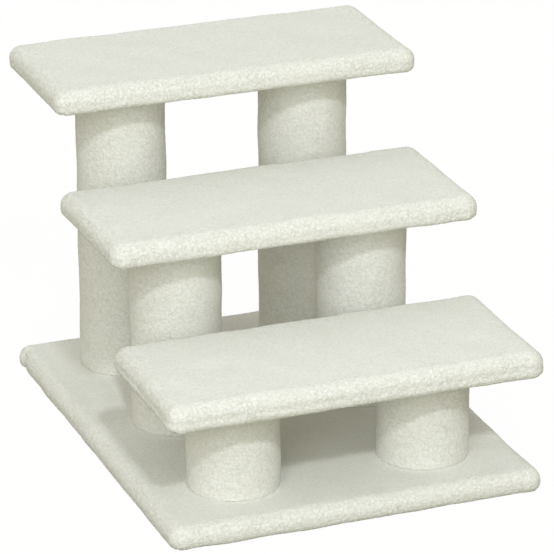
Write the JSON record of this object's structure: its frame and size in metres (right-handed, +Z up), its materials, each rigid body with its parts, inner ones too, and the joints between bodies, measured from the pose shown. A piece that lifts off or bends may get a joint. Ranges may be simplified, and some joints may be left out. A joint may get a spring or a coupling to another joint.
{
  "type": "pet stairs",
  "caption": "Low pet stairs with plush-wrapped board treads rising in equal steps on plush-covered round posts above a flat plush-wrapped base.",
  "frame": {"origin": "on the floor, under the middle of the stairs' bounding box", "axes": "+Z up, +Y from the front (lowest tread) to the back (highest tread), +X to the right as seen from the front"},
  "size_m": [0.35, 0.454, 0.3245],
  "materials": {
    "plush": "cream white sherpa plush with a short curly pile",
    "board": "raw particle board",
    "card": "spiral-wound kraft cardboard",
    "plug": "raw fibreboard",
    "zinc": "bright zinc plated"
  },
  "bodies": {
    "root": {"base_board": "board", "base_cover": "plush", "base_staples": "zinc", "low_tread_board": "board", "low_tread_cover": "plush", "low_tread_lining": "plush", "low_tread_staples": "zinc", "mid_tread_board": "board", "mid_tread_cover": "plush", "mid_tread_lining": "plush", "mid_tread_staples": "zinc", "top_tread_board": "board", "top_tread_cover": "plush", "top_tread_lining": "plush", "top_tread_staples": "zinc", "low_left_tube": "card", "low_right_tube": "card", "mid_left_tube": "card", "mid_right_tube": "card", "top_left_tube": "card", "top_right_tube": "card", "low_left_sleeve": "plush", "low_right_sleeve": "plush", "mid_left_sleeve": "plush", "mid_right_sleeve": "plush", "top_left_sleeve": "plush", "top_right_sleeve": "plush", "low_left_foot_plug": "plug", "low_right_foot_plug": "plug", "mid_left_foot_plug": "plug", "mid_right_foot_plug": "plug", "top_left_foot_plug": "plug", "top_right_foot_plug": "plug", "low_left_head_plug": "plug", "low_right_head_plug": "plug", "mid_left_head_plug": "plug", "mid_right_head_plug": "plug", "top_left_head_plug": "plug", "top_right_head_plug": "plug", "foot_tee_nuts": "zinc", "head_tee_nuts": "zinc", "tread_tee_nuts": "zinc", "base_bolts": "zinc", "base_washers": "zinc", "tread_studs": "zinc"}
  },
  "joints": []
}
